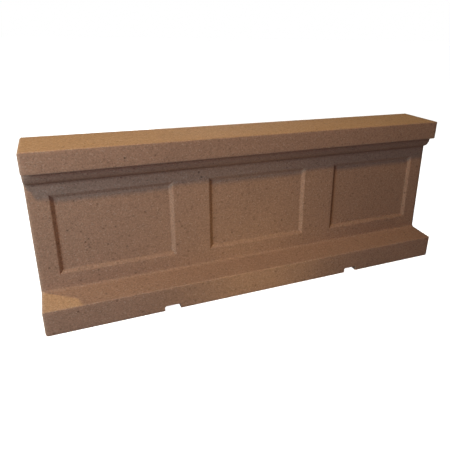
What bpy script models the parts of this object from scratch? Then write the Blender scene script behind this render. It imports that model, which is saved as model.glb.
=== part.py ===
"""Precast concrete barrier: a panelled wall with a wide base and a deep cap, and the steel cast into it.

The origin is at the centre of the underside. X runs along the barrier, Y across it and Z up.
"""

import math

import bmesh
import bpy
from mathutils import Vector

INCH = 0.0254

# Overall size
LENGTH = 96 * INCH
HEIGHT = 36 * INCH

# Cap and the rounded moulding under it
CAP_DEPTH = 12 * INCH
CAP_HEIGHT = 4.375 * INCH
CAP_OVERHANG = 1.5 * INCH
MOULDING_HEIGHT = 2.625 * INCH
MOULDING_STEPS = 6

# Wall, thicker at its foot than under the moulding
WALL_TOP_THICKNESS = 5.5 * INCH
WALL_FOOT_THICKNESS = 7 * INCH

# Base, whose top falls a little to the front and to the back
BASE_DEPTH = 20.5 * INCH
BASE_EDGE_HEIGHT = 5.625 * INCH
BASE_HEIGHT = 6 * INCH

# Rounding of the edges that the mould leaves, at the ends and the wall's foot and then along the casting
ARRIS = 0.5 * INCH
LONG_ARRIS = 0.25 * INCH
ARRIS_STEPS = 3

# Three recessed panels on each face
PANEL_COUNT = 3
PANEL_WIDTH = 24 * INCH
PANEL_HEIGHT = 17 * INCH
PANEL_PITCH = 32 * INCH
PANEL_BOTTOM = 9.5 * INCH
PANEL_DEPTH = 0.5 * INCH
PANEL_BEVEL = 0.75 * INCH
PANEL_EDGE_RADIUS = 0.5 * INCH

# Two slots under the base, open at both faces
SLOT_X = 22.75 * INCH
SLOT_WIDTH = 3.5 * INCH
SLOT_HEIGHT = 1.25 * INCH
SLOT_CORNER = 0.3 * INCH

# Reinforcement
THICK_BAR = 0.5 * INCH
THIN_BAR = 0.375 * INCH
BAR_SIDES = 8
GAP = 0.0003
COVER = 0.045
STATION_PITCH = 12 * INCH
STATION_COUNT = 8
HOOP_HALF_WIDTH = 0.019
HOOP_BEND = 0.016
BASE_TIE_HALF_LENGTH = 0.220
CAP_TIE_HALF_LENGTH = 0.116
LONG_BAR_HALF_LENGTH = LENGTH / 2 - COVER
WALL_BAR_HEIGHTS = (0.240, 0.400, 0.560, 0.720)
BASE_BAR_OFFSETS = (-0.200, -0.105, 0.105, 0.200)
CAP_BAR_OFFSETS = (-0.104, 0.104)
CHAIR_STATIONS = (1, 3, 6, 8)
CHAIR_OFFSET = 0.152
CHAIR_SIDES = 12
CHAIR_FOOT_RADIUS = 0.018
CHAIR_FOOT_HEIGHT = 0.005
CHAIR_NECK_RADIUS = 0.011

# Levels that follow from the sizes above
MOULDING_BOTTOM = HEIGHT - CAP_HEIGHT - MOULDING_HEIGHT
BASE_TIE_Z = COVER + THICK_BAR / 2
BASE_BAR_Z = BASE_TIE_Z + THICK_BAR + GAP
CAP_TIE_Z = HEIGHT - COVER - THIN_BAR / 2
CAP_BAR_Z = CAP_TIE_Z - (THIN_BAR + THICK_BAR) / 2 - GAP
WALL_BAR_Y = HOOP_HALF_WIDTH - (THIN_BAR + THICK_BAR) / 2 - GAP
CHAIR_HEIGHT = COVER + 0.003


def clear_scene():
    for obj in list(bpy.data.objects):
        bpy.data.objects.remove(obj, do_unlink=True)


def make_material(name, colour, roughness, metallic=0.0):
    material = bpy.data.materials.new(name)
    material.use_nodes = True
    shader = material.node_tree.nodes["Principled BSDF"]
    shader.inputs["Base Color"].default_value = (*colour, 1.0)
    shader.inputs["Roughness"].default_value = roughness
    shader.inputs["Metallic"].default_value = metallic
    material.diffuse_color = (*colour, 1.0)
    return material


def make_object(name, builder, material=None, parent=None, collection=None):
    """A mesh object from a bmesh. One with no material is a cutter."""
    bmesh.ops.recalc_face_normals(builder, faces=builder.faces)
    mesh = bpy.data.meshes.new(name)
    builder.to_mesh(mesh)
    builder.free()
    obj = bpy.data.objects.new(name, mesh)
    (collection or bpy.context.scene.collection).objects.link(obj)
    obj.parent = parent
    if material:
        mesh.materials.append(material)
        mesh.shade_smooth()
        mesh.set_sharp_from_angle(angle=math.radians(40))
    else:
        obj.hide_render = True
        obj.display_type = "WIRE"
    return obj


def add_rings(builder, rings, closed=False):
    """Joins rings of points into a skin, with end caps unless the rings form a loop."""
    loops = [[builder.verts.new(point) for point in ring] for ring in rings]
    pairs = list(zip(loops, loops[1:]))
    if closed:
        pairs.append((loops[-1], loops[0]))
    else:
        builder.faces.new(loops[0])
        builder.faces.new(loops[-1])
    for near, far in pairs:
        for i in range(len(near)):
            j = (i + 1) % len(near)
            builder.faces.new((near[i], near[j], far[j], far[i]))


def half_section():
    """(y, z) points of one side of the cross-section, from the foot of the base to the top of the cap."""
    wall_top = WALL_TOP_THICKNESS / 2
    moulding_depth = CAP_DEPTH / 2 - CAP_OVERHANG - wall_top
    points = [
        (BASE_DEPTH / 2, 0.0),
        (BASE_DEPTH / 2, BASE_EDGE_HEIGHT),
        (WALL_FOOT_THICKNESS / 2, BASE_HEIGHT),
    ]
    for i in range(MOULDING_STEPS + 1):
        turn = math.pi / 2 * i / MOULDING_STEPS
        y = wall_top + moulding_depth * math.sin(turn)
        points.append((y, MOULDING_BOTTOM + MOULDING_HEIGHT * (1 - math.cos(turn))))
    points.append((CAP_DEPTH / 2, HEIGHT - CAP_HEIGHT))
    points.append((CAP_DEPTH / 2, HEIGHT))
    return points


def arris_of(edge):
    """How far an edge is rounded off. Zero for one that stays as it is."""
    if all(abs(vert.co.x) > LENGTH / 2 - 1e-6 for vert in edge.verts):
        return ARRIS if edge.verts[0].co.x * edge.verts[1].co.x > 0 else 0.0
    y, z = abs(edge.verts[0].co.y), edge.verts[0].co.z
    corners = (
        (BASE_DEPTH / 2, 0.0, LONG_ARRIS),
        (BASE_DEPTH / 2, BASE_EDGE_HEIGHT, LONG_ARRIS),
        (WALL_FOOT_THICKNESS / 2, BASE_HEIGHT, ARRIS),
        (CAP_DEPTH / 2, HEIGHT - CAP_HEIGHT, LONG_ARRIS),
        (CAP_DEPTH / 2, HEIGHT, LONG_ARRIS),
    )
    return next((size for a, b, size in corners if math.hypot(y - a, z - b) < 1e-6), 0.0)


def casting_mesh():
    builder = bmesh.new()
    side = half_section()
    outline = side + [(-y, z) for y, z in reversed(side)]
    rings = [[Vector((x, y, z)) for y, z in outline] for x in (-LENGTH / 2, LENGTH / 2)]
    add_rings(builder, rings)
    weights = builder.edges.layers.float.new("bevel_weight_edge")
    for edge in builder.edges:
        edge[weights] = arris_of(edge) / ARRIS
    return builder


def round_arrises(casting):
    bevel = casting.modifiers.new("arrises", "BEVEL")
    bevel.limit_method = "WEIGHT"
    bevel.width = ARRIS
    bevel.segments = ARRIS_STEPS


def panel_levels():
    """(inset, depth) from the wall's face down to the panel's floor, with both edges of the bevel rounded."""
    radius, steps = PANEL_EDGE_RADIUS, 3
    slope = math.atan2(PANEL_DEPTH, PANEL_BEVEL)
    tangent = radius * math.tan(slope / 2)
    turns = [slope * i / steps for i in range(steps + 1)]
    outer = [(radius * math.sin(t) - tangent, radius * (1 - math.cos(t))) for t in turns]
    inner = [(PANEL_BEVEL - inset, PANEL_DEPTH - depth) for inset, depth in reversed(outer)]
    lift = 0.001
    flare = lift / math.tan(turns[1] / 2)
    return [(-tangent - flare, -lift)] + outer + inner


def panel_mesh(centre_x, side):
    """The space of one panel, square to the sloping face of the wall."""
    foot = Vector((0, WALL_FOOT_THICKNESS / 2, BASE_HEIGHT))
    top = Vector((0, WALL_TOP_THICKNESS / 2, MOULDING_BOTTOM))
    up = (top - foot).normalized()
    inward = Vector((0, -up.z, up.y))
    start = foot + up * (PANEL_BOTTOM - BASE_HEIGHT)
    rings = []
    for inset, depth in panel_levels():
        ring = []
        for across, height in ((-1, 0), (1, 0), (1, 1), (-1, 1)):
            rise = inset if height == 0 else PANEL_HEIGHT - inset
            point = start + up * rise + inward * depth
            point.x = centre_x + across * (PANEL_WIDTH / 2 - inset)
            point.y *= side
            ring.append(point)
        rings.append(ring)
    builder = bmesh.new()
    add_rings(builder, rings)
    return builder


def slot_mesh(centre_x):
    """The space of one slot, which runs across under the whole base and has rounded top corners."""
    half, reach, steps = SLOT_WIDTH / 2, BASE_DEPTH / 2 + 0.01, 3
    outline = [(-half, -0.01), (half, -0.01)]
    for side in (1, -1):
        for i in range(steps + 1):
            turn = math.pi / 2 * (i if side > 0 else steps - i) / steps
            x = side * (half - SLOT_CORNER * (1 - math.cos(turn)))
            outline.append((x, SLOT_HEIGHT - SLOT_CORNER * (1 - math.sin(turn))))
    builder = bmesh.new()
    add_rings(builder, [[(centre_x + x, y, z) for x, z in outline] for y in (-reach, reach)])
    return builder


def bar_ring(centre, first, second, radius):
    """One section of a bar, with flats that face along its two cross directions."""
    corner = radius / math.cos(math.pi / BAR_SIDES)
    turns = [2 * math.pi * (i + 0.5) / BAR_SIDES for i in range(BAR_SIDES)]
    return [centre + first * corner * math.cos(t) + second * corner * math.sin(t) for t in turns]


def straight_bar(centre, axis, half_length, diameter, grow=0.0):
    axis, up = Vector(axis), Vector((0, 0, 1))
    across = axis.cross(up)
    ends = [Vector(centre) + axis * reach for reach in (-half_length - grow, half_length + grow)]
    builder = bmesh.new()
    add_rings(builder, [bar_ring(end, across, up, diameter / 2 + grow) for end in ends])
    return builder


def hoop_path():
    """(y, z, turn) along the tall closed hoop in the wall. The turn is the way that each point faces."""
    bottom, top, steps = BASE_TIE_Z, CAP_TIE_Z, 2
    path = []
    for side, level, first in ((1, bottom, -90), (1, top, 0), (-1, top, 90), (-1, bottom, 180)):
        y = side * (HOOP_HALF_WIDTH - HOOP_BEND)
        z = level + HOOP_BEND * (1 if level == bottom else -1)
        for i in range(steps + 1):
            turn = math.radians(first + 90 * i / steps)
            path.append((y + HOOP_BEND * math.cos(turn), z + HOOP_BEND * math.sin(turn), turn))
    return path


def hoop_mesh(x, grow=0.0):
    along = Vector((1, 0, 0))
    rings = []
    for y, z, turn in hoop_path():
        outward = Vector((0, math.cos(turn), math.sin(turn)))
        rings.append(bar_ring(Vector((x, y, z)), along, outward, THIN_BAR / 2 + grow))
    builder = bmesh.new()
    add_rings(builder, rings, closed=True)
    return builder


def chair_mesh(x, y, grow=0.0):
    """A spacer with a wide foot, which stands on the mould. Its bed in the concrete is open below."""
    foot, neck = CHAIR_FOOT_RADIUS + grow, CHAIR_NECK_RADIUS + grow
    bottom = -GAP if grow else GAP
    foot_top, neck_bottom = CHAIR_FOOT_HEIGHT + grow, 3 * CHAIR_FOOT_HEIGHT + grow
    levels = [(foot, bottom), (foot, foot_top), (neck, neck_bottom), (neck, CHAIR_HEIGHT + grow)]
    turns = [2 * math.pi * (i + 0.5) / CHAIR_SIDES for i in range(CHAIR_SIDES)]
    builder = bmesh.new()
    add_rings(builder, [[(x + r * math.cos(t), y + r * math.sin(t), z) for t in turns] for r, z in levels])
    return builder


def long_bar(y, z, grow=0.0):
    return straight_bar((0, y, z), (1, 0, 0), LONG_BAR_HALF_LENGTH, THICK_BAR, grow)


def base_tie(x, grow=0.0):
    return straight_bar((x, 0, BASE_TIE_Z), (0, 1, 0), BASE_TIE_HALF_LENGTH, THICK_BAR, grow)


def cap_tie(x, grow=0.0):
    return straight_bar((x, 0, CAP_TIE_Z), (0, 1, 0), CAP_TIE_HALF_LENGTH, THIN_BAR, grow)


def stations():
    """(number, x of the hoop, of the base tie and of the cap tie), with the ties on the hoop's inner side."""
    for i in range(STATION_COUNT):
        x = (i - (STATION_COUNT - 1) / 2) * STATION_PITCH
        inward = 1 if x < 0 else -1
        base_x = x + inward * ((THIN_BAR + THICK_BAR) / 2 + GAP)
        yield i + 1, x, base_x, x + inward * (THIN_BAR + GAP)


def steel_pieces():
    """{name: (mesh function, its sizes)} of the bars cast into the concrete."""
    pieces = {}
    for number, x, base_x, cap_x in stations():
        pieces[f"wall_hoop_{number}"] = (hoop_mesh, (x,))
        pieces[f"base_tie_{number}"] = (base_tie, (base_x,))
        pieces[f"cap_tie_{number}"] = (cap_tie, (cap_x,))
    for i, y in enumerate(BASE_BAR_OFFSETS):
        pieces[f"base_bar_{i + 1}"] = (long_bar, (y, BASE_BAR_Z))
    for i, z in enumerate(WALL_BAR_HEIGHTS):
        pieces[f"wall_bar_{i + 1}"] = (long_bar, (WALL_BAR_Y * (-1) ** i, z))
    for i, y in enumerate(CAP_BAR_OFFSETS):
        pieces[f"cap_bar_{i + 1}"] = (long_bar, (y, CAP_BAR_Z))
    return pieces


def chair_pieces():
    """{name: (mesh function, its sizes)} of the spacers under the base ties."""
    pieces = {}
    for number, _, base_x, _ in stations():
        if number in CHAIR_STATIONS:
            pieces[f"bar_chair_front_{number}"] = (chair_mesh, (base_x, -CHAIR_OFFSET))
            pieces[f"bar_chair_back_{number}"] = (chair_mesh, (base_x, CHAIR_OFFSET))
    return pieces


def add_cut(obj, name, cutters):
    cut = obj.modifiers.new(name, "BOOLEAN")
    cut.operation = "DIFFERENCE"
    cut.operand_type = "COLLECTION"
    cut.collection = cutters
    cut.solver = "EXACT"


def new_collection(name):
    collection = bpy.data.collections.new(name)
    bpy.context.scene.collection.children.link(collection)
    return collection


def build_casting(root, concrete, embedded):
    casting = make_object("concrete_casting", casting_mesh(), concrete, root)
    round_arrises(casting)
    openings = new_collection("cutters_openings")
    for i in range(PANEL_COUNT):
        x = (i - (PANEL_COUNT - 1) / 2) * PANEL_PITCH
        for face, side in (("front", -1), ("back", 1)):
            make_object(f"cut_panel_{face}_{i + 1}", panel_mesh(x, side), parent=root, collection=openings)
    for name, x in (("left", -SLOT_X), ("right", SLOT_X)):
        make_object(f"cut_slot_{name}", slot_mesh(x), parent=root, collection=openings)
    beds = new_collection("cutters_beds")
    for name, (shape, sizes) in embedded.items():
        make_object(f"cut_bed_{name}", shape(*sizes, GAP), parent=root, collection=beds)
    add_cut(casting, "Openings", openings)
    add_cut(casting, "Beds", beds)


def build_steel(root, steel, pieces):
    for name, (shape, sizes) in pieces.items():
        make_object(name, shape(*sizes), steel, root)


def build_chairs(root, plastic, pieces):
    """The spacers, each with a groove in its top for the tie that lies on it."""
    for name, (shape, sizes) in pieces.items():
        chair = make_object(name, shape(*sizes), plastic, root)
        grooves = new_collection(f"cutters_{name}")
        make_object(f"cut_groove_{name}", base_tie(sizes[0], GAP), parent=root, collection=grooves)
        add_cut(chair, "Groove", grooves)


def main():
    clear_scene()
    root = bpy.data.objects.new("barrier", None)
    bpy.context.scene.collection.objects.link(root)
    concrete = make_material("sandblasted_concrete", (0.30, 0.19, 0.12), 0.9)
    steel = make_material("reinforcing_steel", (0.16, 0.11, 0.08), 0.65, 0.8)
    plastic = make_material("spacer_plastic", (0.10, 0.10, 0.11), 0.55)
    bars, chairs = steel_pieces(), chair_pieces()
    build_casting(root, concrete, bars | chairs)
    build_steel(root, steel, bars)
    build_chairs(root, plastic, chairs)


main()
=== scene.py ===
"""The looks of a precast concrete barrier: its materials, floor, lights and camera."""

import math
import random

import bmesh
import bpy
from mathutils import Matrix, Vector, noise
from mathutils.geometry import delaunay_2d_cdt


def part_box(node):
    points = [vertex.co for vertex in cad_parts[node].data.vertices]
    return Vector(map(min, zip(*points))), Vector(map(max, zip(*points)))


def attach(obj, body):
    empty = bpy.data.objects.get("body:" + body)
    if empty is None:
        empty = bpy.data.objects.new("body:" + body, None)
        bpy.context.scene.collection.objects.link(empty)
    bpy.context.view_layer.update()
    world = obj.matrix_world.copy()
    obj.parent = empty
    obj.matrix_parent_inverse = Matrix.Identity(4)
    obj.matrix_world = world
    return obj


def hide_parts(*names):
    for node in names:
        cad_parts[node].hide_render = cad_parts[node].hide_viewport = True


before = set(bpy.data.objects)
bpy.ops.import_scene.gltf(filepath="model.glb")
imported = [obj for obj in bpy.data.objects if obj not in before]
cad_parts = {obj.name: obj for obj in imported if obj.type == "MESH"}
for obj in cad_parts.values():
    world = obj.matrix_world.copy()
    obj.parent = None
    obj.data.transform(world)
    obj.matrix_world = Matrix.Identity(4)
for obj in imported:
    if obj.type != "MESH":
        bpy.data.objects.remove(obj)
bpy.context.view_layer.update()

INCH = 0.0254
TINY = 1e-6  # metres: less than this counts as nothing
CASTING = "concrete_casting"
SPACER = "bar_chair"

# The casting, as the CAD has it: overall size, then half widths and heights of its section.
LENGTH, DEPTH, HEIGHT = (high - low for low, high in zip(*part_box(CASTING)))
CAP_HALF = 6 * INCH
CAP_BOTTOM = HEIGHT - 4.375 * INCH
MOULDING_BOTTOM = CAP_BOTTOM - 2.625 * INCH
MOULDING_HALF = CAP_HALF - 1.5 * INCH
WALL_TOP_HALF = 2.75 * INCH
WALL_FOOT_HALF = 3.5 * INCH
BASE_EDGE = 5.625 * INCH
BASE_TOP = 6 * INCH
WALL_FOOT = Vector((WALL_FOOT_HALF, BASE_TOP))
WALL_UP = (Vector((WALL_TOP_HALF, MOULDING_BOTTOM)) - WALL_FOOT).normalized()

# Three panels in each face of the wall.
PANEL_CENTRES = (-32 * INCH, 0.0, 32 * INCH)
PANEL_HALF_WIDTH = 12 * INCH
PANEL_HEIGHT = 17 * INCH
PANEL_BOTTOM = 9.5 * INCH
PANEL_START = PANEL_BOTTOM - BASE_TOP
PANEL_DEPTH = 0.5 * INCH
PANEL_BEVEL = 0.75 * INCH
PANEL_EDGE_RADIUS = 0.5 * INCH

# Two slots across the underside.
SLOT_CENTRES = (-22.75 * INCH, 22.75 * INCH)
SLOT_HALF_WIDTH = 1.75 * INCH
SLOT_HEIGHT = 1.25 * INCH
SLOT_CORNER = 0.3 * INCH

# Radii of the rounded edges, and the least radius to which an arris shrinks at the ends.
LONG_ARRIS = 0.25 * INCH
FOOT_FILLET = 0.5 * INCH
CREASE = 0.12 * INCH
END_RADIUS = 0.5 * INCH
SMALLEST_ARC = 0.0012
LONGEST_REACH = 0.45

# How finely the casting is meshed.
SPACING = 0.0155
UNDERSIDE_SPACING = 0.04
POINT_GRID = 1e7  # steps to the metre, within which points are one
BEVEL_STEPS = 4
MOULDING_STEPS = 12
ARRIS_STEPS = 4
CREASE_STEPS = 2
SLOT_CORNER_STEPS = 3
END_STEPS = 4
SHARP_ANGLE = math.radians(38)

# Slow waviness of the faces, which spares the underside.
WAVE_DEPTH = 0.0006
WAVE_SCALE = 14
WAVE_ROUGHNESS = 0.8
WAVE_LACUNARITY = 2.1
WAVE_OCTAVES = 3
FLAT_BELOW = 0.002

# The shape of an air hole. Its rim and floor are (share of its radius, depth as a share of its radius).
PIT_RADII = (0.0014, 0.0046)
PIT_SIDES = 8
PIT_RINGS = ((1.0, 0.0), (0.62, 0.85))
PIT_BOTTOM = 1.15
PIT_POINTS = len(PIT_RINGS) * PIT_SIDES + 1
IN_PIT = -1.0  # the mark, among the edge paling values, for a point of an air hole

# Which faces along the barrier take one: how many, how flat, how wide and how high up.
PIT_SHARE = 0.028
PIT_FACE_BEND = 2e-4
PIT_FACE_SIDES = (0.008, 0.024)
PIT_LOWEST = 0.01
WIDEST_PIT = 0.46

# Air holes in each end face, and how clear of things its points lie.
END_PITS = 34
END_PIT_GAP = 0.03
END_EDGE_GAP = 0.02
EDGE_CLEARANCE = 0.55 * SPACING
PIT_CLEARANCE = 0.3 * SPACING
SAME_POINT = 1e-7
SEED = 11

# Beds of the spacers' feet in the underside.
BED_GAP = 0.0004
BED_DEPTH = 0.02
BED_SIDES = 24

# Inner corners of the section that take painted shade, and how far from them it reaches.
SHADED_CREASES = ((MOULDING_HALF, CAP_BOTTOM), (WALL_TOP_HALF, MOULDING_BOTTOM))
CREASE_SHADE_REACH = 0.008

# Colours, as linear light.
WHITE = (1.0, 1.0, 1.0)
CONCRETE = (0.270, 0.166, 0.107)
# The dark stone colour also paints the shade inside the air holes.
DARK_STONE_AND_PIT_SHADE = (0.060, 0.034, 0.022)
# The pale stone colour also paints the highlight along the arrises.
PALE_STONE_AND_SHEEN = (0.420, 0.300, 0.215)
MILL_SCALE = (0.060, 0.052, 0.050)
RUST = (0.235, 0.095, 0.040)
PLASTIC = (0.09, 0.09, 0.10)

# The floor: half its width, its gap under the object, and how pale it looks and how much it throws back.
FLOOR_REACH = 40.0
FLOOR_GAP = 0.0005
FLOOR_SEEN = 0.88
FLOOR_BOUNCE = 0.12

# The range that most of a noise texture's values fall in.
NOISE_LOW = 0.3
NOISE_HIGH = 0.7

# Numbers of a colour Mix node's sockets.
MIX_FACTOR = 0
MIX_FIRST = 6
MIX_SECOND = 7
MIX_RESULT = 2

# The camera: angles in radians, lens and sensor in millimetres, and shift as a share of the frame.
CAMERA_PLACE = (-1.0308, -2.32, 1.4691)
CAMERA_TURN = 0.4169
CAMERA_TIP = 0.3802
CAMERA_ROLL = 0.0278
CAMERA_LENS = 35.92
CAMERA_SENSOR = 36.0
CAMERA_REACH = 200.0
CAMERA_SHIFT = (-0.062, -0.0483)


def panel_levels():
    """(inset, depth) from the wall's face down to the panel's floor, with the bevel's edges rounded."""
    slope = math.atan2(PANEL_DEPTH, PANEL_BEVEL)
    tangent = PANEL_EDGE_RADIUS * math.tan(slope / 2)
    outer = []
    for i in range(BEVEL_STEPS + 1):
        turn = slope * i / BEVEL_STEPS
        inset = PANEL_EDGE_RADIUS * math.sin(turn) - tangent
        outer.append((inset, PANEL_EDGE_RADIUS * (1 - math.cos(turn))))
    inner = [(PANEL_BEVEL - inset, PANEL_DEPTH - depth) for inset, depth in reversed(outer)]
    return outer + inner


LEVELS = panel_levels()


def recess_depth(inset):
    """Depth of a panel's surface at this inset from the panel's edge."""
    if inset <= LEVELS[0][0]:
        return 0.0
    for (inset_a, depth_a), (inset_b, depth_b) in zip(LEVELS, LEVELS[1:]):
        if inset <= inset_b:
            return depth_a + (depth_b - depth_a) * (inset - inset_a) / (inset_b - inset_a)
    return PANEL_DEPTH


def wall_corner(rise):
    """A sharp corner on the wall's face, this far up its slope from the foot."""
    point = WALL_FOOT + WALL_UP * rise
    return (point.x, point.y, 0.0)


def moulding_corners():
    """Corners of the rounded moulding, from the wall out to the cap."""
    corners = []
    for i in range(1, MOULDING_STEPS + 1):
        turn = math.pi / 2 * i / MOULDING_STEPS
        y = WALL_TOP_HALF + (MOULDING_HALF - WALL_TOP_HALF) * math.sin(turn)
        z = MOULDING_BOTTOM + (CAP_BOTTOM - MOULDING_BOTTOM) * (1 - math.cos(turn))
        corners.append((y, z, 0.0))
    return corners


def half_corners():
    """(y, z, radius) corners of one side of the section, from its underside's middle to its top's."""
    corners = [
        (0.0, 0.0, 0.0),
        (DEPTH / 2, 0.0, LONG_ARRIS),
        (DEPTH / 2, BASE_EDGE, LONG_ARRIS),
        (WALL_FOOT_HALF, BASE_TOP, FOOT_FILLET),
    ]
    corners += [wall_corner(PANEL_START + inset) for inset, _ in LEVELS]
    corners += [wall_corner(PANEL_START + PANEL_HEIGHT - inset) for inset, _ in reversed(LEVELS)]
    corners.append((WALL_TOP_HALF, MOULDING_BOTTOM, CREASE))
    corners += moulding_corners()
    corners += [(CAP_HALF, CAP_BOTTOM, LONG_ARRIS), (CAP_HALF, HEIGHT, LONG_ARRIS), (0.0, HEIGHT, 0.0)]
    return corners


def corner_arc(before, corner, after, radius):
    """The centre and points of the arc that rounds a corner, or just the corner if it stays sharp."""
    if radius == 0.0:
        return corner, [corner]
    back = (before - corner).normalized()
    ahead = (after - corner).normalized()
    half = back.angle(ahead) / 2
    shorter = min((before - corner).length, (after - corner).length)
    radius = min(radius, LONGEST_REACH * math.tan(half) * shorter)
    reach = radius / math.tan(half)
    centre = corner + (back + ahead).normalized() * (radius / math.sin(half))
    start = corner + back * reach - centre
    end = corner + ahead * reach - centre
    sweep = math.pi - 2 * half
    steps = CREASE_STEPS if radius < 2 * CREASE else ARRIS_STEPS
    side = 1 if start.x * end.y - start.y * end.x > 0 else -1
    return centre, [centre + turned(start, side * sweep * i / steps) for i in range(steps + 1)]


def turned(arm, angle):
    cosine = math.cos(angle)
    sine = math.sin(angle)
    return Vector((arm.x * cosine - arm.y * sine, arm.x * sine + arm.y * cosine))


def flipped(place):
    return Vector((-place.x, place.y))


class Outline:
    """Closely spaced (y, z) points round the section, with the arc of each and how much it is paled:
    rubbed edges with a painted highlight.
    """

    def __init__(self):
        self.points = []
        self.wear_and_sheen = []
        self.arcs = []

    def add(self, point, wear_and_sheen=0.0, arc=None):
        self.points.append(point)
        self.wear_and_sheen.append(wear_and_sheen)
        self.arcs.append(arc)

    def add_straight(self, end):
        """Adds evenly spaced points up to this end, without it."""
        start = self.points[-1]
        gap = end - start
        underside = end.y < TINY and start.y < TINY
        count = max(1, round(gap.length / (UNDERSIDE_SPACING if underside else SPACING)))
        for n in range(1, count):
            self.add(start + gap * (n / count))

    def mirror(self):
        """Adds the other side of the section."""
        for i in range(len(self.points) - 2, 0, -1):
            arc = self.arcs[i] and tuple(flipped(place) for place in self.arcs[i])
            self.add(flipped(self.points[i]), self.wear_and_sheen[i], arc)

    def moved_in(self, i, inset, normal):
        """A point moved in by the inset. The arc of an outer corner gets smaller as it moves in."""
        if not self.arcs[i]:
            return self.points[i] - normal * inset
        corner, centre = self.arcs[i]
        radius = (self.points[i] - centre).length
        left = max(radius - inset, SMALLEST_ARC)
        return corner + ((centre - corner) * (inset + left) + (self.points[i] - centre) * left) / radius

    def normals(self):
        """Unit vectors that point out of the section at each point."""
        count = len(self.points)
        found = []
        for i in range(count):
            along = (self.points[(i + 1) % count] - self.points[i - 1]).normalized()
            found.append(Vector((along.y, -along.x)))
        return found


def section_outline():
    """The outline of the whole section, from the middle of the underside and back to it."""
    outline = Outline()
    corners = half_corners()
    spots = [Vector(corner[:2]) for corner in corners]
    for i, (spot, corner) in enumerate(zip(spots, corners)):
        radius = corner[2]
        before = spots[max(i - 1, 0)]
        after = spots[min(i + 1, len(spots) - 1)]
        centre, arc = corner_arc(before, spot, after, radius)
        if outline.points:
            outline.add_straight(arc[0])
        outer = radius == LONG_ARRIS
        for n, point in enumerate(arc):
            # Arris points are paled: rubbed edges with a painted highlight along them.
            wear_and_sheen = math.sin(math.pi * n / (len(arc) - 1)) if outer else 0.0
            outline.add(point, wear_and_sheen, (spot, centre) if outer else None)
    outline.mirror()
    return outline


def slot_ceiling(x):
    """Height of the underside at x, seen from inside a slot: zero between the slots."""
    for centre in SLOT_CENTRES:
        within = SLOT_HALF_WIDTH - abs(x - centre)
        if within > -TINY:
            short = max(0.0, SLOT_CORNER - within)
            return SLOT_HEIGHT - SLOT_CORNER + math.sqrt(max(0.0, SLOT_CORNER**2 - short**2))
    return 0.0


def fill_between(stops):
    """The sorted stops with evenly spaced stations between them."""
    stations = [stops[0]]
    for stop in stops[1:]:
        start = stations[-1]
        count = max(1, round((stop - start) / SPACING))
        stations += [start + (stop - start) * n / count for n in range(1, count + 1)]
    return stations


def section_stops():
    """The x of every section that the ends, the panels and the slots call for, in order."""
    stops = {-LENGTH / 2 + END_RADIUS, LENGTH / 2 - END_RADIUS}
    for side in (-1, 1):
        for centre in PANEL_CENTRES:
            stops |= {centre + side * (PANEL_HALF_WIDTH - inset) for inset, _ in LEVELS}
        for centre in SLOT_CENTRES:
            for i in range(SLOT_CORNER_STEPS + 1):
                step = SLOT_CORNER * (1 - math.cos(math.pi / 2 * i / SLOT_CORNER_STEPS))
                stops.add(centre + side * (SLOT_HALF_WIDTH - step))
    return sorted(stops)


def middle_sections():
    """Sections between the ends. A slot's upright side takes two at the same place."""
    found = []
    for x in fill_between(section_stops()):
        at_side = [c for c in SLOT_CENTRES if abs(abs(x - c) - SLOT_HALF_WIDTH) < TINY]
        if at_side and x < at_side[0]:
            found.append((x, 0.0, 0.0))
        found.append((x, 0.0, slot_ceiling(x)))
        if at_side and x > at_side[0]:
            found.append((x, 0.0, 0.0))
    return found


def end_sections():
    """Sections round the right end's arris, each moved in further than the last."""
    found = []
    for i in range(1, END_STEPS + 1):
        turn = math.pi / 2 * i / END_STEPS
        x = LENGTH / 2 - END_RADIUS * (1 - math.sin(turn))
        found.append((x, END_RADIUS * (1 - math.cos(turn)), 0.0))
    return found


def sections():
    """(x, inset of the outline, height of the underside) of every section along the barrier."""
    right = end_sections()
    left = [(-x, inset, low) for x, inset, low in reversed(right)]
    return left + middle_sections() + right


def panel_inset(x, point):
    """How far a point on the wall's face lies inside the nearest panel's edge. Negative outside."""
    rise = (Vector((abs(point.x), point.y)) - WALL_FOOT).dot(WALL_UP) - PANEL_START
    across = max(PANEL_HALF_WIDTH - abs(x - centre) for centre in PANEL_CENTRES)
    return min(across, rise, PANEL_HEIGHT - rise)


def on_wall(point):
    """Whether a point of the outline lies on the wall's face."""
    offset = Vector((abs(point.x), point.y)) - WALL_FOOT
    off_line = abs(offset.x * WALL_UP.y - offset.y * WALL_UP.x)
    return off_line < TINY and BASE_TOP < point.y < MOULDING_BOTTOM


class Skin:
    """The casting's surface as it is put together: faces, and points with their depth and their paling,
    which is rubbed edges with a painted highlight, or the mark of an air hole.
    """

    def __init__(self):
        self.points = []
        self.wear_and_sheen = []
        self.depth = []
        self.faces = []
        self.index = {}

    def point(self, place, wear_and_sheen=0.0, depth=0.0):
        """The number of the point at this place, which is made if it is new."""
        key = tuple(round(c * POINT_GRID) for c in place)
        if key not in self.index:
            self.index[key] = len(self.points)
            self.points.append(Vector(place))
            self.wear_and_sheen.append(wear_and_sheen)
            self.depth.append(depth)
        return self.index[key]

    def face(self, *corners):
        """Adds a face, unless its corners fall together."""
        ring = [c for i, c in enumerate(corners) if c != corners[i - 1]]
        if len(ring) > 2 and len(set(ring)) == len(ring):
            self.faces.append(tuple(ring))


def weathered(place, outward):
    """The place moved in by a shallow, slow waviness. The underside stays flat."""
    if place.z < FLAT_BELOW:
        return place
    wave = noise.fractal(place * WAVE_SCALE, WAVE_ROUGHNESS, WAVE_LACUNARITY, WAVE_OCTAVES)
    return place - outward * WAVE_DEPTH * min(1.0, abs(wave))


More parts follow.
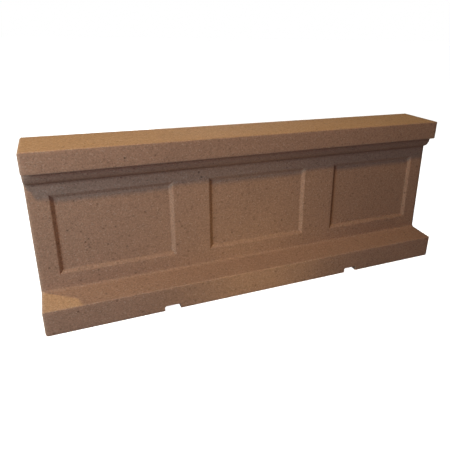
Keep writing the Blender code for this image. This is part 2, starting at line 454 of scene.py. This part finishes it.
def grid_points(skin, outline):
    """The skin's points, one row for each section along the barrier."""
    inward = Vector((-WALL_UP.y, WALL_UP.x))
    wall = [on_wall(point) for point in outline.points]
    normals = outline.normals()
    rows = []
    for x, inset, low in sections():
        row = []
        for i, (point, normal, is_wall) in enumerate(zip(outline.points, normals, wall)):
            depth = recess_depth(panel_inset(x, point)) if is_wall else 0.0
            spot = outline.moved_in(i, inset, normal)
            if depth:
                side = 1 if point.x > 0 else -1
                spot = spot + Vector((inward.x * side, inward.y)) * depth
            place = Vector((x, spot.x, max(spot.y, low)))
            place = weathered(place, Vector((0, normal.x, normal.y)))
            # Arrises along the barrier and round its ends are paled: rubbed edges with a painted
            # highlight.
            edge_wear_and_sheen = max(outline.wear_and_sheen[i], math.sin(math.pi * inset / END_RADIUS))
            row.append(skin.point(place, edge_wear_and_sheen, depth))
        rows.append(row)
    return rows


def split_at_mitre(skin, ring):
    """The ring as two triangles where a panel's bevels meet, split along the mitre line."""
    depths = [skin.depth[i] for i in ring]
    if abs(depths[0] + depths[2] - depths[1] - depths[3]) < TINY:
        return [ring]
    deepest = max(depths)
    first = depths.index(deepest) if depths.count(deepest) == 1 else depths.index(min(depths))
    a, b, c, d = ring[first:] + ring[:first]
    return [(a, b, c), (a, c, d)]


def pit_radius(rng, power):
    """A random radius for an air hole. A higher power makes small ones more common."""
    smallest, largest = PIT_RADII
    return smallest + (largest - smallest) * rng.random() ** power


def add_pit(skin, ring, rng):
    """A small irregular air hole in the middle of a four-sided face."""
    corners = [skin.points[i] for i in ring]
    centre = sum(corners, Vector()) / 4
    normal = (corners[2] - corners[0]).cross(corners[3] - corners[1]).normalized()
    widest = WIDEST_PIT * min((corners[i] - corners[i - 1]).length for i in range(4))
    radius = min(widest, pit_radius(rng, 1.7))
    first = (corners[0] - centre).normalized()
    second = normal.cross(first)
    inner_share = PIT_RINGS[1][0]
    rim = []
    floor = []
    for i in range(PIT_SIDES):
        turn = 2 * math.pi * i / PIT_SIDES
        out = first * math.cos(turn) + second * math.sin(turn)
        reach = radius * rng.uniform(0.78, 1.0)
        rim.append(skin.point(centre + out * reach, IN_PIT))
        sunk = normal * radius * rng.uniform(0.7, 1.0)
        floor.append(skin.point(centre + out * reach * inner_share - sunk, IN_PIT))
    bottom = skin.point(centre - normal * radius * PIT_BOTTOM, IN_PIT)
    join_pit(skin, ring, rim, floor, bottom)


def join_pit(skin, ring, rim, floor, bottom):
    """The faces from a four-sided ring in to an air hole's rim, and down to its bottom."""
    for i in range(4):
        here = ring[i]
        there = ring[(i + 1) % 4]
        a, b, c = rim[2 * i], rim[2 * i + 1], rim[(2 * i + 2) % PIT_SIDES]
        skin.face(here, there, b)
        skin.face(here, b, a)
        skin.face(there, c, b)
    for i in range(PIT_SIDES):
        j = (i + 1) % PIT_SIDES
        skin.face(rim[i], rim[j], floor[j], floor[i])
        skin.face(floor[i], floor[j], bottom)


def takes_pit(skin, ring, rng):
    """Whether a face is to have an air hole: a random few of those that are flat and near square."""
    corners = [skin.points[i] for i in ring]
    sides = [(corners[i] - corners[i - 1]).length for i in range(4)]
    across = (corners[1] - corners[0]).cross(corners[2] - corners[0]).normalized()
    flat = abs(across.dot(corners[3] - corners[0])) < PIT_FACE_BEND
    square = min(sides) > PIT_FACE_SIDES[0] and max(sides) < PIT_FACE_SIDES[1]
    return rng.random() < PIT_SHARE and square and flat and corners[0].z > PIT_LOWEST


def add_sides(skin, rows, rng):
    """The faces between each section and the next."""
    count = len(rows[0])
    for near, far in zip(rows, rows[1:]):
        for i in range(count):
            j = (i + 1) % count
            ring = (near[i], near[j], far[j], far[i])
            if len(set(ring)) < 4:
                skin.face(*ring)
                continue
            pieces = split_at_mitre(skin, ring)
            if len(pieces) == 1 and takes_pit(skin, ring, rng):
                add_pit(skin, ring, rng)
                continue
            for piece in pieces:
                skin.face(*piece)


def inside(outline, y, z):
    """Whether a place lies inside a closed outline."""
    hit = False
    for a, b in zip(outline, outline[1:] + outline[:1]):
        if (a.y > z) != (b.y > z) and y < a.x + (z - a.y) * (b.x - a.x) / (b.y - a.y):
            hit = not hit
    return hit


def end_grid(outline, pits):
    """Points spread over an end face, clear of its outline and of its pits."""
    spots = []
    step = SPACING * math.sqrt(3) / 2
    columns = int(DEPTH / SPACING)
    for row in range(1, int(HEIGHT / step)):
        for column in range(-columns, columns):
            spot = Vector(((column + row % 2 / 2) * SPACING, row * step))
            near_edge = min((spot - edge).length_squared for edge in outline) < EDGE_CLEARANCE**2
            near_pit = any((spot - centre).length < radius + PIT_CLEARANCE for centre, radius in pits)
            if not near_edge and not near_pit and inside(outline, *spot):
                spots.append(spot)
    return spots


def end_pits(outline, rng):
    """(centre, radius) of the air holes in an end face, clear of its edge and of each other."""
    pits = []
    while len(pits) < END_PITS:
        centre = Vector((rng.uniform(-DEPTH / 2, DEPTH / 2), rng.uniform(END_EDGE_GAP, HEIGHT)))
        radius = pit_radius(rng, 2)
        clear = all((centre - other).length > END_PIT_GAP for other, _ in pits)
        off_edge = min((centre - edge).length for edge in outline) > END_EDGE_GAP
        if clear and off_edge and inside(outline, *centre):
            pits.append((centre, radius))
    return pits


def end_spots(outline, pits, rng):
    """(place, depth) of an end face's points: its outline, a grid, then each air hole."""
    spots = [(spot, 0.0) for spot in outline + end_grid(outline, pits)]
    for centre, radius in pits:
        for share, depth in PIT_RINGS:
            for i in range(PIT_SIDES):
                turn = 2 * math.pi * i / PIT_SIDES
                out = Vector((math.cos(turn), math.sin(turn)))
                spots.append((centre + out * radius * share * rng.uniform(0.85, 1.0), radius * depth))
        spots.append((centre, radius * PIT_BOTTOM))
    return spots


def add_end(skin, row, side, rng):
    """A flat end face with air holes in it. Its outline is the last section."""
    outline = [Vector(skin.points[i].yz) for i in row]
    pits = end_pits(outline, rng)
    spots = end_spots(outline, pits, rng)
    count = len(outline)
    edges = [(i, (i + 1) % count) for i in range(count)]
    result = delaunay_2d_cdt([spot for spot, _ in spots], edges, [], 1, SAME_POINT, True)
    places, faces, origins = result[0], result[2], result[3]
    first_in_pits = len(spots) - PIT_POINTS * len(pits)
    ids = []
    for place, origin in zip(places, origins):
        source = origin[0]
        if source < count:
            ids.append(row[source])
            continue
        x = side * (LENGTH / 2 - spots[source][1])
        ids.append(skin.point((x, place.x, place.y), IN_PIT if source >= first_in_pits else 0.0))
    for face in faces:
        add_end_face(skin, [ids[i] for i in face], outline, side)


def add_end_face(skin, ring, outline, side):
    """Adds one face of an end, turned to face out, unless it fills a hollow beside the outline."""
    a, b, c = (skin.points[i] for i in ring[:3])
    middle = (a + b + c) / 3
    if not inside(outline, middle.y, middle.z):
        return
    if (b - a).cross(c - a).x * side < 0:
        ring.reverse()
    skin.face(*ring)


def crease_shade_at(point):
    """Painted shade for a point: 1 in the inner corners under the cap and the moulding, falling to 0 a
    little way off.
    """
    spot = Vector((abs(point.y), point.z))
    near = min((spot - Vector(corner)).length for corner in SHADED_CREASES)
    return max(0.0, 1.0 - near / CREASE_SHADE_REACH)


def store(mesh, name, values):
    """Keeps one number for each point, for the material to read."""
    mesh.attributes.new(name, "FLOAT", "POINT").data.foreach_set("value", values)


def build_casting():
    """The casting's visual piece, marked for its paled arrises with a painted highlight, and for the
    painted shade in its air holes and its creases.
    """
    rng = random.Random(SEED)
    skin = Skin()
    rows = grid_points(skin, section_outline())
    add_sides(skin, rows, rng)
    add_end(skin, rows[0], -1, rng)
    add_end(skin, rows[-1], 1, rng)
    mesh = bpy.data.meshes.new("casting")
    mesh.from_pydata(skin.points, [], skin.faces)
    # Marks the paled arrises: rubbed edges with a painted highlight.
    store(mesh, "wear_and_sheen", [max(wear_and_sheen, 0.0) for wear_and_sheen in skin.wear_and_sheen])
    # Marks the points of the air holes, which take painted shade.
    store(mesh, "pit_shade", [float(wear_and_sheen == IN_PIT) for wear_and_sheen in skin.wear_and_sheen])
    # Marks the inner corners under the cap and the moulding, which take painted shade.
    store(mesh, "crease_shade", [crease_shade_at(point) for point in skin.points])
    casting = bpy.data.objects.new("casting", mesh)
    bpy.context.scene.collection.objects.link(casting)
    mesh.shade_smooth()
    mesh.set_sharp_from_angle(angle=SHARP_ANGLE)
    return casting


def apply_modifiers(obj):
    graph = bpy.context.evaluated_depsgraph_get()
    mesh = bpy.data.meshes.new_from_object(obj.evaluated_get(graph), depsgraph=graph)
    obj.modifiers.clear()
    obj.data = mesh


def bed_cutter(node):
    """A short drum a little wider than a spacer's foot, half above the underside and half below."""
    low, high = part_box(node)
    centre = Vector(((low[0] + high[0]) / 2, (low[1] + high[1]) / 2, 0))
    radius = (high[1] - low[1]) / 2 + BED_GAP
    builder = bmesh.new()
    bmesh.ops.create_cone(
        builder,
        cap_ends=True,
        segments=BED_SIDES,
        radius1=radius,
        radius2=radius,
        depth=BED_DEPTH,
        matrix=Matrix.Translation(centre),
    )
    mesh = bpy.data.meshes.new("bed")
    builder.to_mesh(mesh)
    builder.free()
    cutter = bpy.data.objects.new("bed", mesh)
    bpy.context.scene.collection.objects.link(cutter)
    return cutter


def cut_beds(casting, nodes):
    """Opens the underside where the spacers' feet show."""
    for node in nodes:
        cutter = bed_cutter(node)
        cut = casting.modifiers.new("Bed", "BOOLEAN")
        cut.operation = "DIFFERENCE"
        cut.solver = "EXACT"
        cut.object = cutter
        apply_modifiers(casting)
        bpy.data.objects.remove(cutter, do_unlink=True)


def shade_of(colour, share=1.0):
    """A colour made darker or paler, with full opacity added."""
    return (*(channel * share for channel in colour), 1.0)


class Graph:
    """Short calls for making a material's nodes. Scales are to the metre."""

    def __init__(self, name):
        self.material = bpy.data.materials.new(name)
        self.material.use_nodes = True
        self.tree = self.material.node_tree
        self.shader = self.tree.nodes["Principled BSDF"]
        self.place = self.tree.nodes.new("ShaderNodeTexCoord").outputs["Object"]

    def link(self, source, socket):
        """Feeds a socket from another node's output, or sets it to a number or colour."""
        if hasattr(source, "is_output"):
            self.tree.links.new(source, socket)
        else:
            socket.default_value = source

    def noise(self, scale, detail=2.0, rough=0.5, distortion=0.0):
        node = self.tree.nodes.new("ShaderNodeTexNoise")
        self.link(self.place, node.inputs["Vector"])
        node.inputs["Scale"].default_value = scale
        node.inputs["Detail"].default_value = detail
        node.inputs["Roughness"].default_value = rough
        node.inputs["Distortion"].default_value = distortion
        return node.outputs["Fac"]

    def cells(self, scale):
        """(distance to the middle of the nearest cell, and two random numbers of that cell)"""
        node = self.tree.nodes.new("ShaderNodeTexVoronoi")
        self.link(self.place, node.inputs["Vector"])
        node.inputs["Scale"].default_value = scale
        parts = self.tree.nodes.new("ShaderNodeSeparateColor")
        self.link(node.outputs["Color"], parts.inputs["Color"])
        return node.outputs["Distance"], parts.outputs["Red"], parts.outputs["Green"]

    def math(self, operation, *values):
        node = self.tree.nodes.new("ShaderNodeMath")
        node.operation = operation
        for socket, value in zip(node.inputs, values):
            self.link(value, socket)
        return node.outputs["Value"]

    def map(self, value, old, new):
        """The value, moved from one (low, high) range to another."""
        node = self.tree.nodes.new("ShaderNodeMapRange")
        self.link(value, node.inputs["Value"])
        node.inputs["From Min"].default_value = old[0]
        node.inputs["From Max"].default_value = old[1]
        node.inputs["To Min"].default_value = new[0]
        node.inputs["To Max"].default_value = new[1]
        return node.outputs["Result"]

    def spread(self, value, low, high):
        """A noise's values, stretched to run from low to high."""
        return self.map(value, (NOISE_LOW, NOISE_HIGH), (low, high))

    def mix(self, blend, factor, first, second):
        node = self.tree.nodes.new("ShaderNodeMix")
        node.data_type = "RGBA"
        node.blend_type = blend
        self.link(factor, node.inputs[MIX_FACTOR])
        self.link(first, node.inputs[MIX_FIRST])
        self.link(second, node.inputs[MIX_SECOND])
        return node.outputs[MIX_RESULT]

    def ramp(self, value, stops):
        """The colour of the (position, colour) stops at this value."""
        node = self.tree.nodes.new("ShaderNodeValToRGB")
        while len(node.color_ramp.elements) < len(stops):
            node.color_ramp.elements.new(0.5)
        for element, (position, colour) in zip(node.color_ramp.elements, stops):
            element.position = position
            element.color = colour
        self.link(value, node.inputs["Fac"])
        return node.outputs["Color"]

    def attribute(self, name):
        node = self.tree.nodes.new("ShaderNodeAttribute")
        node.attribute_name = name
        return node.outputs["Fac"]

    def bump(self, height, strength, distance):
        node = self.tree.nodes.new("ShaderNodeBump")
        node.inputs["Strength"].default_value = strength
        node.inputs["Distance"].default_value = distance
        self.link(height, node.inputs["Height"])
        return node.outputs["Normal"]


def sand_and_clouds(g, grain):
    """The brown matrix with its sand grains, broad clouds and fine mottling."""
    sand = g.ramp(grain, [
        (0.0, shade_of(CONCRETE, 0.62)),
        (0.10, shade_of(CONCRETE, 0.86)),
        (0.50, shade_of(CONCRETE)),
        (0.88, shade_of(CONCRETE, 1.14)),
        (1.0, shade_of(PALE_STONE_AND_SHEEN, 0.8)),
    ])
    colour = g.mix("MIX", 0.68, shade_of(CONCRETE), sand)
    clouds = g.spread(g.noise(2.6, 4.0, 0.55, 0.6), 0.955, 1.045)
    colour = g.mix("MULTIPLY", 1.0, colour, clouds)
    mottle = g.spread(g.noise(90.0, 2.5, 0.6), 0.91, 1.09)
    return g.mix("MULTIPLY", 1.0, colour, mottle)


def with_mark(g, colour, name, strength, mark_colour):
    """The colour, changed where the mesh carries this mark."""
    return g.mix("MIX", g.math("MULTIPLY", g.attribute(name), strength), colour, mark_colour)


def with_stones(g, colour, ragged, scale, radii, chosen, cover, stone_colour):
    """The colour with ragged stones in it, one in each cell whose random number passes the test."""
    distance, chance, size = g.cells(scale)
    edge = g.math("ADD", g.map(size, (0.0, 1.0), radii), ragged)
    test, limit = chosen
    stone = g.math("MULTIPLY", g.math("LESS_THAN", distance, edge), g.math(test, chance, limit))
    return g.mix("MIX", g.math("MULTIPLY", stone, cover), colour, shade_of(stone_colour))


def concrete_material():
    """Sandblasted concrete: sand, mottling, dark and pale stones, paler rubbed edges with a painted
    highlight, and air holes and inner corners under the cap and the moulding darkened as painted shade.
    """
    g = Graph("sandblasted_concrete")
    _, grain, _ = g.cells(190)
    colour = sand_and_clouds(g, grain)
    # Rubbed edges with a painted highlight: the arrises are paled towards pale stone.
    colour = with_mark(g, colour, "wear_and_sheen", 0.10, shade_of(PALE_STONE_AND_SHEEN, 0.8))
    # Painted shade: the inner corners under the cap and the moulding are darkened.
    colour = with_mark(g, colour, "crease_shade", 0.45, shade_of(CONCRETE, 0.4))
    ragged = g.spread(g.noise(420.0), -0.05, 0.05)
    colour = with_stones(g, colour, ragged, 52, (0.06, 0.20), ("LESS_THAN", 0.07), 0.42, DARK_STONE_AND_PIT_SHADE)
    colour = with_stones(g, colour, ragged, 47, (0.06, 0.16), ("GREATER_THAN", 0.94), 0.6, PALE_STONE_AND_SHEEN)
    # Painted shade: the points inside the air holes are darkened.
    colour = with_mark(g, colour, "pit_shade", 0.32, shade_of(DARK_STONE_AND_PIT_SHADE))
    g.link(colour, g.shader.inputs["Base Color"])
    g.link(g.spread(g.noise(60.0), 0.84, 0.96), g.shader.inputs["Roughness"])
    g.shader.inputs["Specular IOR Level"].default_value = 0.2
    height = g.math("ADD", g.noise(240.0, 3.0, 0.65), g.math("MULTIPLY", grain, 0.35))
    height = g.math("ADD", height, g.math("MULTIPLY", g.noise(105.0), 1.4))
    g.link(g.bump(height, 0.6, 0.0012), g.shader.inputs["Normal"])
    return g.material


def steel_material():
    """Reinforcing bar as rolled: dark mill scale with patches of light rust."""
    g = Graph("reinforcing_steel")
    patches = g.map(g.noise(35.0, 5.0, 0.7, 0.4), (0.42, 0.62), (0.0, 1.0))
    colour = g.mix("MIX", patches, shade_of(MILL_SCALE), shade_of(RUST))
    colour = g.mix("MULTIPLY", 1.0, colour, g.spread(g.noise(300.0), 0.8, 1.2))
    g.link(colour, g.shader.inputs["Base Color"])
    g.link(g.map(patches, (0.0, 1.0), (0.42, 0.85)), g.shader.inputs["Roughness"])
    g.shader.inputs["Metallic"].default_value = 0.6
    g.link(g.bump(g.noise(280.0, 3.0), 0.4, 0.0005), g.shader.inputs["Normal"])
    return g.material


def plastic_material():
    """Dull recycled plastic with faint flow marks."""
    g = Graph("spacer_plastic")
    flow = g.spread(g.noise(50.0, 3.0, 0.5, 1.5), 0.85, 1.15)
    g.link(g.mix("MULTIPLY", 1.0, shade_of(PLASTIC), flow), g.shader.inputs["Base Color"])
    g.link(g.spread(g.noise(120.0), 0.5, 0.65), g.shader.inputs["Roughness"])
    g.link(g.bump(g.noise(400.0), 0.2, 0.0003), g.shader.inputs["Normal"])
    return g.material


def dress_nodes(nodes, material):
    """Gives CAD nodes that keep their own shape a detailed material."""
    for node in nodes:
        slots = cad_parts[node].data.materials
        slots.clear()
        slots.append(material)


def matt_shader(tree, brightness):
    shader = tree.nodes.new("ShaderNodeBsdfDiffuse")
    shader.inputs["Color"].default_value = shade_of(WHITE, brightness)
    return shader.outputs["BSDF"]


def camera_switch(tree, hidden, seen, surface):
    """Puts the seen shader on what the camera sees directly, and the hidden one on all else."""
    mix = tree.nodes.new("ShaderNodeMixShader")
    tree.links.new(tree.nodes.new("ShaderNodeLightPath").outputs["Is Camera Ray"], mix.inputs[0])
    tree.links.new(hidden, mix.inputs[1])
    tree.links.new(seen, mix.inputs[2])
    tree.links.new(mix.outputs[0], surface)


def make_floor():
    """A pale floor that throws back less light than it shows, so that the undersides stay dark."""
    mesh = bpy.data.meshes.new("floor")
    far = FLOOR_REACH
    corners = [(-far, -far, 0), (far, -far, 0), (far, far, 0), (-far, far, 0)]
    mesh.from_pydata(corners, [], [(0, 1, 2, 3)])
    floor = bpy.data.objects.new("floor", mesh)
    bpy.context.scene.collection.objects.link(floor)
    floor.location.z = -FLOOR_GAP
    material = bpy.data.materials.new("pale_floor")
    material.use_nodes = True
    tree = material.node_tree
    surface = tree.nodes["Material Output"].inputs["Surface"]
    camera_switch(tree, matt_shader(tree, FLOOR_BOUNCE), matt_shader(tree, FLOOR_SEEN), surface)
    mesh.materials.append(material)
    return floor


def make_world():
    """Plain white behind the object, which lights nothing."""
    world = bpy.data.worlds.new("studio")
    world.use_nodes = True
    tree = world.node_tree
    unlit = tree.nodes["Background"]
    unlit.inputs["Strength"].default_value = 0.0
    backdrop = tree.nodes.new("ShaderNodeBackground")
    backdrop.inputs["Color"].default_value = shade_of(WHITE)
    surface = tree.nodes["World Output"].inputs["Surface"]
    camera_switch(tree, unlit.outputs[0], backdrop.outputs[0], surface)
    bpy.context.scene.world = world


def add_lamp(lamp, place, target, only=None):
    """Places a light, aimed at target. With only, it sees just that object, for light and shade."""
    lamp.location = place
    lamp.rotation_euler = (Vector(target) - Vector(place)).to_track_quat("-Z", "Y").to_euler()
    lamp.visible_camera = False
    bpy.context.scene.collection.objects.link(lamp)
    if only:
        group = bpy.data.collections.new(lamp.name + "_lights")
        group.objects.link(only)
        lamp.light_linking.receiver_collection = group
        lamp.light_linking.blocker_collection = group


def softbox(name, size, power, colour, spread=math.pi):
    """A round area light, with its width in metres and its power in watts."""
    light = bpy.data.lights.new(name, "AREA")
    light.shape = "DISK"
    light.size = size
    light.spread = spread
    light.energy = power
    light.color = colour
    return bpy.data.objects.new(name, light)


def sunlight(name, angle, strength):
    light = bpy.data.lights.new(name, "SUN")
    light.angle = angle
    light.energy = strength
    return bpy.data.objects.new(name, light)


def light_studio(floor, casting):
    """Warm lamps high in front and behind, cool light from the left and above, and low fills."""
    middle = (0.0, 0.0, HEIGHT / 2)
    key = softbox("key_lamp", 0.35, 148, (1.0, 0.626, 0.202))
    back = softbox("back_lamp", 0.16, 251, (1.0, 0.893, 0.42))
    left = softbox("left_softbox", 2.0, 187, (0.584, 0.808, 1.0))
    over = softbox("over_lamp", 0.8, 28, (0.524, 0.582, 1.0))
    low = softbox("low_softbox", 0.5, 0.68, (1.0, 0.79, 0.38), math.radians(80))
    front = softbox("front_softbox", 2.0, 19, (1.0, 0.234, 0.506))
    rear = softbox("rear_softbox", 1.5, 150, WHITE)
    add_lamp(key, (-2.20, -2.15, 4.72), middle)
    add_lamp(back, (-2.99, 1.30, 6.84), middle, casting)
    add_lamp(left, (-4.0, -2.0, 2.0), middle)
    add_lamp(over, (-0.5, -0.9, 6.5), middle)
    add_lamp(low, (-0.1, -1.15, 0.12), (-0.1, 0.0, 0.06), casting)
    add_lamp(front, (-2.2, -4.0, 1.8), middle)
    add_lamp(rear, (1.0, 4.0, 0.8), middle)
    add_lamp(sunlight("floor_light", 0.2, 3.6), (0.0, 0.0, 9.0), (0.0, 0.0, 0.0), floor)


def make_camera():
    """A camera turned to the right, tipped down and rolled a little."""
    data = bpy.data.cameras.new("camera")
    data.sensor_width = CAMERA_SENSOR
    data.lens = CAMERA_LENS
    data.shift_x, data.shift_y = CAMERA_SHIFT
    data.clip_end = CAMERA_REACH
    camera = bpy.data.objects.new("camera", data)
    turn = Matrix.Rotation(-CAMERA_TURN, 3, "Z")
    tip = Matrix.Rotation(math.pi / 2 - CAMERA_TIP, 3, "X")
    roll = Matrix.Rotation(CAMERA_ROLL, 3, "Z")
    camera.matrix_world = Matrix.Translation(CAMERA_PLACE) @ (turn @ tip @ roll).to_4x4()
    bpy.context.scene.collection.objects.link(camera)
    bpy.context.scene.camera = camera


def main():
    scene = bpy.context.scene
    scene.view_settings.view_transform = "Standard"
    make_camera()
    make_world()
    floor = make_floor()
    casting = build_casting()
    spacers = [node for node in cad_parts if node.startswith(SPACER)]
    bars = [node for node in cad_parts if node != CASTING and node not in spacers]
    cut_beds(casting, spacers)
    casting.data.materials.append(concrete_material())
    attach(casting, "root")
    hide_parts(CASTING)
    dress_nodes(spacers, plastic_material())
    dress_nodes(bars, steel_material())
    light_studio(floor, casting)


main()
